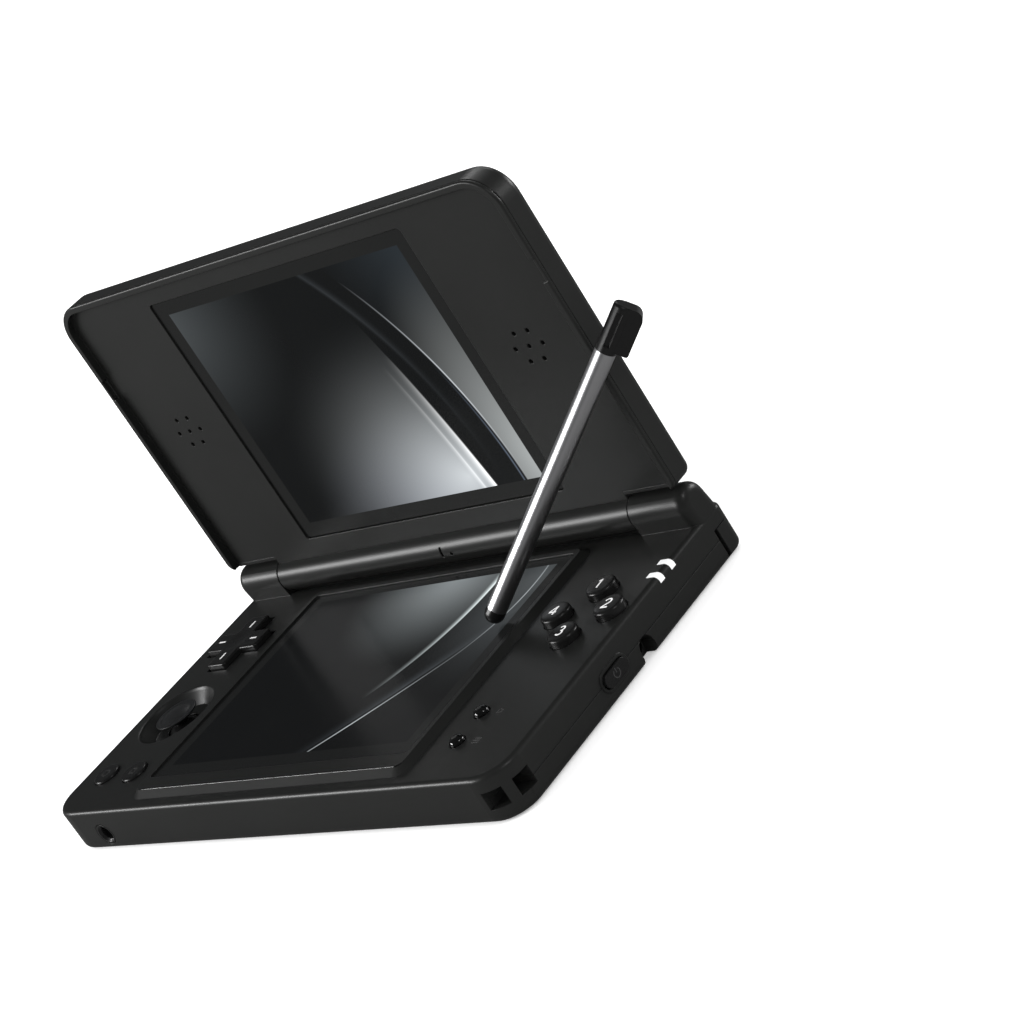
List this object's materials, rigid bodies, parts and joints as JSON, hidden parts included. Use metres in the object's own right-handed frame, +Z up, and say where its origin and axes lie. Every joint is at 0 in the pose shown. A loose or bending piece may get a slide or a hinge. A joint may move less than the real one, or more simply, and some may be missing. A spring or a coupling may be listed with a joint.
{
  "type": "clamshell handheld game console",
  "caption": "Clamshell handheld game console with two displays, direction pad, thumb stick, face and shoulder buttons, and a loose metal stylus.",
  "frame": {"origin": "centre of the flat underside of the base", "axes": "+X to the player's right, +Y towards the hinge, +Z up; the lid stands open, square to the base"},
  "size_m": [0.1762, 0.0944, 0.1043],
  "materials": {
    "case_black": "satin black moulded plastic with a fine grain",
    "button_black": "semi-gloss black plastic",
    "shoulder_black": "satin black plastic",
    "stick_rubber": "soft dark grey rubber",
    "screen_glass": "glossy dark cover glass",
    "display_module": "dark display panel",
    "metal_tray": "stamped sheet",
    "circuit_board": "green board",
    "battery_wrap": "wrapped cell",
    "key_rubber": "translucent key rubber",
    "inner_plastic": "engineering plastic",
    "port_metal": "plated shell",
    "lens_white": "milky white light guide",
    "screw_steel": "dark plated steel",
    "pin_steel": "ground steel",
    "switch_plastic": "light plastic",
    "speaker_black": "speaker frame and cone",
    "mic_brass": "capsule",
    "ribbon_amber": "flexible circuit",
    "stylus_metal": "polished gunmetal tube",
    "stylus_black": "black plastic"
  },
  "bodies": {
    "base": {"base_bottom_case": "case_black", "base_top_case": "case_black", "lower_glass": "screen_glass", "lower_display": "display_module", "display_tray": "metal_tray", "main_board": "circuit_board", "battery": "battery_wrap", "key_mats": "key_rubber", "stick_housing": "inner_plastic", "headphone_socket": "button_black", "charge_port": "port_metal", "status_lenses": "lens_white", "base_screws": "screw_steel", "hinge_pins": "pin_steel", "side_switches": "switch_plastic"},
    "lid": {"lid_outer_cover": "case_black", "lid_front_frame": "case_black", "hinge_barrel": "case_black", "upper_glass": "screen_glass", "upper_display": "display_module", "speakers": "speaker_black", "microphone": "mic_brass", "display_ribbon": "ribbon_amber"},
    "pad_ball": {"pad_ball": "switch_plastic"},
    "direction_pad": {"direction_pad": "button_black"},
    "stick_gimbal": {"stick_gimbal": "inner_plastic"},
    "thumb_stick": {"stick_stem": "inner_plastic", "stick_cap": "stick_rubber"},
    "button_north": {"button_north": "button_black"},
    "button_east": {"button_east": "button_black"},
    "button_south": {"button_south": "button_black"},
    "button_west": {"button_west": "button_black"},
    "start_button": {"start_button": "button_black"},
    "select_button": {"select_button": "button_black"},
    "menu_button_outer": {"menu_button_outer": "button_black"},
    "menu_button_inner": {"menu_button_inner": "button_black"},
    "power_button": {"power_button": "button_black"},
    "volume_rocker": {"volume_rocker": "button_black"},
    "shoulder_left": {"shoulder_left": "shoulder_black"},
    "shoulder_right": {"shoulder_right": "shoulder_black"},
    "stylus": {"stylus_shaft": "stylus_metal", "stylus_tip": "stylus_black", "stylus_cap": "stylus_black"}
  },
  "joints": [
    {"name": "lid_hinge", "type": "hinge", "parent": "base", "child": "lid", "pos_m": [0, 0.0406, 0.0162], "axis": [-1, 0, 0], "range_deg": [-90, 65]},
    {"name": "stylus_away", "type": "slide", "parent": "base", "child": "stylus", "axis": [0.8572, -0.515, 0], "range_m": [-0.038, 0.052]},
    {"name": "pad_rock_x", "type": "hinge", "parent": "base", "child": "pad_ball", "pos_m": [-0.065, 0.0166, 0.00885], "axis": [1, 0, 0], "range_deg": [-3.2, 3.2], "stiffness_Nm_per_rad": 0.4},
    {"name": "pad_rock_y", "type": "hinge", "parent": "pad_ball", "child": "direction_pad", "pos_m": [-0.065, 0.0166, 0.00885], "axis": [0, 1, 0], "range_deg": [-3.2, 3.2], "stiffness_Nm_per_rad": 0.4},
    {"name": "stick_tilt_x", "type": "hinge", "parent": "base", "child": "stick_gimbal", "pos_m": [-0.0649, -0.0108, 0.0042], "axis": [1, 0, 0], "range_deg": [-12, 12], "stiffness_Nm_per_rad": 0.05},
    {"name": "stick_tilt_y", "type": "hinge", "parent": "stick_gimbal", "child": "thumb_stick", "pos_m": [-0.0649, -0.0108, 0.0042], "axis": [0, 1, 0], "range_deg": [-12, 12], "stiffness_Nm_per_rad": 0.05},
    {"name": "press_north", "type": "slide", "parent": "base", "child": "button_north", "axis": [0, 0, -1], "range_m": [0, 0.0008], "stiffness_N_per_m": 400, "springref_m": -0.0004},
    {"name": "press_east", "type": "slide", "parent": "base", "child": "button_east", "axis": [0, 0, -1], "range_m": [0, 0.0008], "stiffness_N_per_m": 400, "springref_m": -0.0004},
    {"name": "press_south", "type": "slide", "parent": "base", "child": "button_south", "axis": [0, 0, -1], "range_m": [0, 0.0008], "stiffness_N_per_m": 400, "springref_m": -0.0004},
    {"name": "press_west", "type": "slide", "parent": "base", "child": "button_west", "axis": [0, 0, -1], "range_m": [0, 0.0008], "stiffness_N_per_m": 400, "springref_m": -0.0004},
    {"name": "press_start", "type": "slide", "parent": "base", "child": "start_button", "axis": [0, 0, -1], "range_m": [0, 0.0008], "stiffness_N_per_m": 400, "springref_m": -0.0004},
    {"name": "press_select", "type": "slide", "parent": "base", "child": "select_button", "axis": [0, 0, -1], "range_m": [0, 0.0008], "stiffness_N_per_m": 400, "springref_m": -0.0004},
    {"name": "press_menu_outer", "type": "slide", "parent": "base", "child": "menu_button_outer", "axis": [0, 0, -1], "range_m": [0, 0.0008], "stiffness_N_per_m": 400, "springref_m": -0.0004},
    {"name": "press_menu_inner", "type": "slide", "parent": "base", "child": "menu_button_inner", "axis": [0, 0, -1], "range_m": [0, 0.0008], "stiffness_N_per_m": 400, "springref_m": -0.0004},
    {"name": "press_power", "type": "slide", "parent": "base", "child": "power_button", "axis": [-1, 0, 0], "range_m": [0, 0.00035], "stiffness_N_per_m": 400, "springref_m": -0.0004},
    {"name": "volume_rock", "type": "hinge", "parent": "base", "child": "volume_rocker", "pos_m": [-0.0795, -0.0004, 0.0055], "axis": [0, 0, 1], "range_deg": [-1.2, 1.2], "stiffness_Nm_per_rad": 0.6},
    {"name": "press_shoulder_left", "type": "slide", "parent": "base", "child": "shoulder_left", "axis": [0, -1, 0], "range_m": [0, 0.0009], "stiffness_N_per_m": 400, "springref_m": -0.0004},
    {"name": "press_shoulder_right", "type": "slide", "parent": "base", "child": "shoulder_right", "axis": [0, -1, 0], "range_m": [0, 0.0009], "stiffness_N_per_m": 400, "springref_m": -0.0004}
  ],
  "couplings": [
    {"joint": "stylus_away", "follows": "lid_hinge", "m_per_rad": -0.0325}
  ]
}
